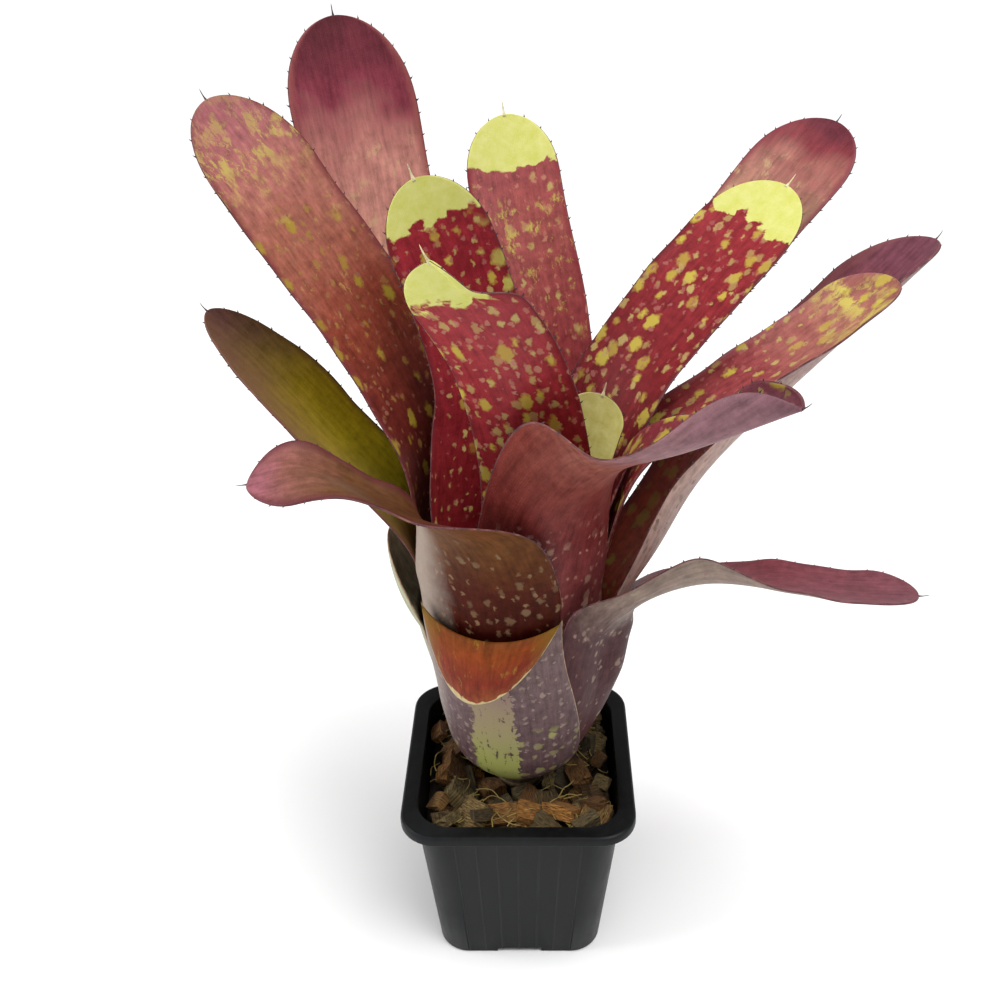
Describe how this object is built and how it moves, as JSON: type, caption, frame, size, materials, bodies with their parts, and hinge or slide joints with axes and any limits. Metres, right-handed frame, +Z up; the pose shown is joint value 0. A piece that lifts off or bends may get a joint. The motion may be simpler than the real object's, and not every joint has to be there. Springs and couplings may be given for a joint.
{
  "type": "potted neoregelia bromeliad",
  "caption": "Tank bromeliad with broad strap leaves, spiny margins and blunt pointed tips, overlapping in a tube, in a small square nursery pot of husk chips.",
  "frame": {"origin": "middle of the pot's flat underside, on the surface that the pot stands on", "axes": "+Z up, -Y towards the front, +X to the right seen from the front"},
  "size_m": [0.2623, 0.2205, 0.3511],
  "materials": {
    "pot": "satin injection-moulded black polypropylene",
    "husk_mix": "raw fibrous coconut-husk chips",
    "stem": "dull brown stem",
    "leaf": "leathery leaf skin with fine scale dots, satin"
  },
  "bodies": {
    "root": {"pot": "pot", "husk_mix": "husk_mix", "stem": "stem", "leaf_front_trimmed": "leaf", "leaf_left_trimmed": "leaf", "leaf_back_low_left": "leaf", "leaf_right_low": "leaf", "leaf_front_left": "leaf", "leaf_right_broad": "leaf", "leaf_left_olive": "leaf", "leaf_front_right_large": "leaf", "leaf_back_low_right": "leaf", "leaf_back_left_tall": "leaf", "leaf_right_folded": "leaf", "leaf_left_tall": "leaf", "leaf_centre_back": "leaf", "leaf_inner_front": "leaf", "leaf_right_back": "leaf", "leaf_inner_left": "leaf", "leaf_right_blotched": "leaf", "leaf_young": "leaf"}
  },
  "joints": []
}
